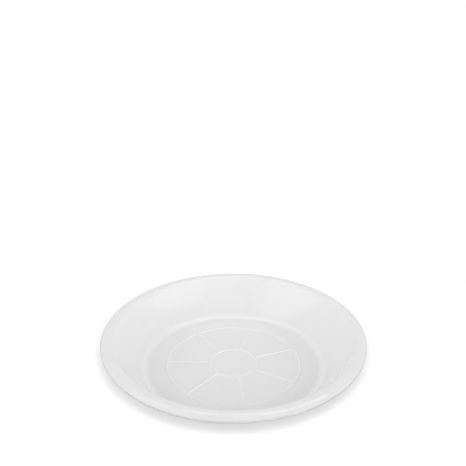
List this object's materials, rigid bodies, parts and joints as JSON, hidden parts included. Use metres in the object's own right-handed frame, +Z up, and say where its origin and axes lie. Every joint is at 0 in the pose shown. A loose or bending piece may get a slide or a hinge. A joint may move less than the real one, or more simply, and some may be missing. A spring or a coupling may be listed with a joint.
{
  "type": "plant saucer",
  "caption": "Shallow round drip saucer for a plant pot: domed floor with thin raised rings and spokes, flared wall, rolled-over rim.",
  "frame": {"origin": "centre of the circle on which the saucer rests, on the resting plane", "axes": "+Z up along the saucer's axis, out of its open top; the first spoke lies close to -X"},
  "size_m": [0.2, 0.2, 0.03],
  "materials": {
    "white_plastic": "smooth injection-moulded white plastic with a soft gloss"
  },
  "bodies": {
    "root": {"saucer": "white_plastic"}
  },
  "joints": []
}
